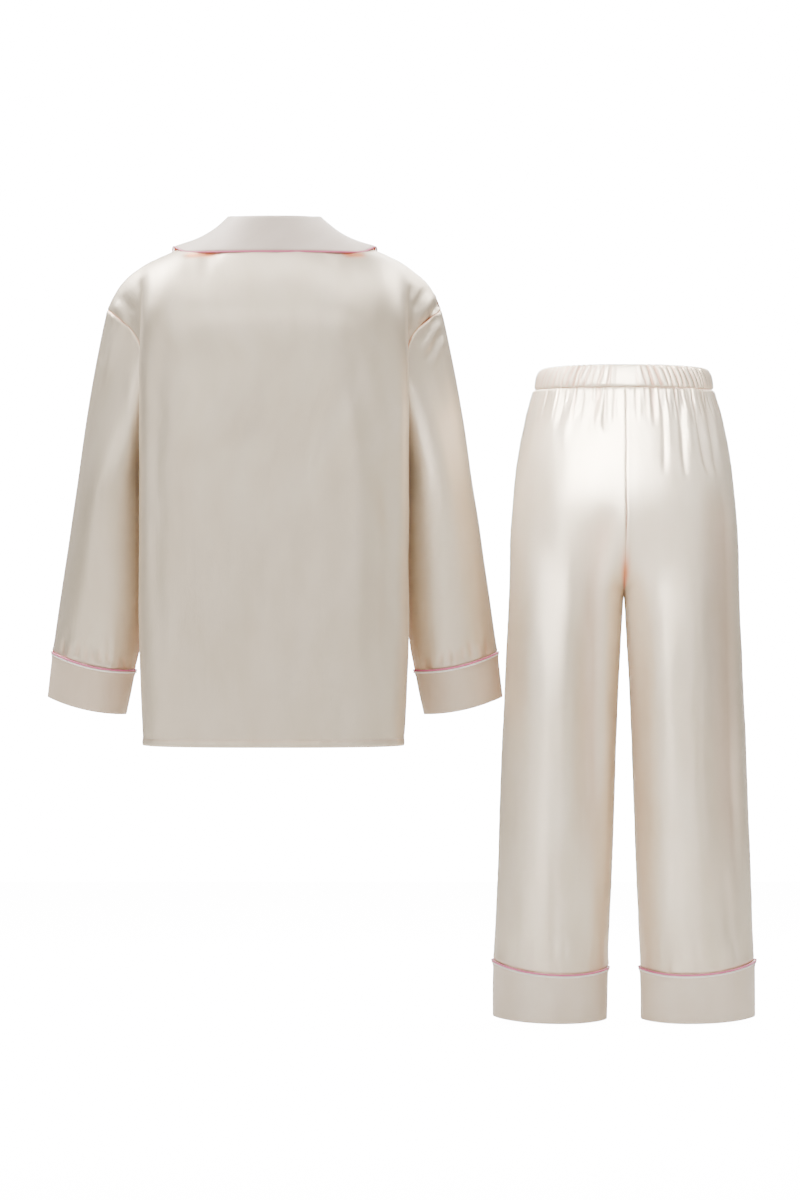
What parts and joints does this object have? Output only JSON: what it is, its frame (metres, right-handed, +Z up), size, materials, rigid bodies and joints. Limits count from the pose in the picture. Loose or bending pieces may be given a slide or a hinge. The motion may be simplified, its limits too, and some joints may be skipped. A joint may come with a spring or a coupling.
{
  "type": "pyjama set",
  "caption": "Long-sleeved pyjama top with a notched collar, standing beside wide-leg trousers with a gathered waistband; piped cuffs, both hollow.",
  "frame": {"origin": "middle of the top's neck, at the height of the back neck seam, where the wearer's neck passes", "axes": "+Z up, +Y the wearer's front, +X the wearer's right; the trousers stand beside the top on +X"},
  "size_m": [1.0093, 0.269, 1.1424],
  "materials": {
    "satin": "smooth satin with a soft sheen",
    "satin_collar": "faced satin, slightly firmer",
    "piping": "mauve pink satin cord",
    "button": "pearly, dished"
  },
  "bodies": {
    "root": {"jacket_back": "satin", "jacket_front_right": "satin", "jacket_front_left": "satin", "sleeve_right": "satin", "sleeve_left": "satin", "leg_back_right": "satin", "leg_front_right": "satin", "leg_back_left": "satin", "leg_front_left": "satin", "sleeve_cuff_right": "satin", "sleeve_cuff_left": "satin", "leg_cuff_right": "satin", "leg_cuff_left": "satin", "waistband": "satin", "collar": "satin_collar", "lapel_right": "satin", "lapel_left": "satin", "sleeve_piping_right": "piping", "sleeve_piping_left": "piping", "leg_piping_right": "piping", "leg_piping_left": "piping", "collar_piping": "piping", "button_1": "button", "button_2": "button", "button_3": "button", "button_4": "button"}
  },
  "joints": []
}
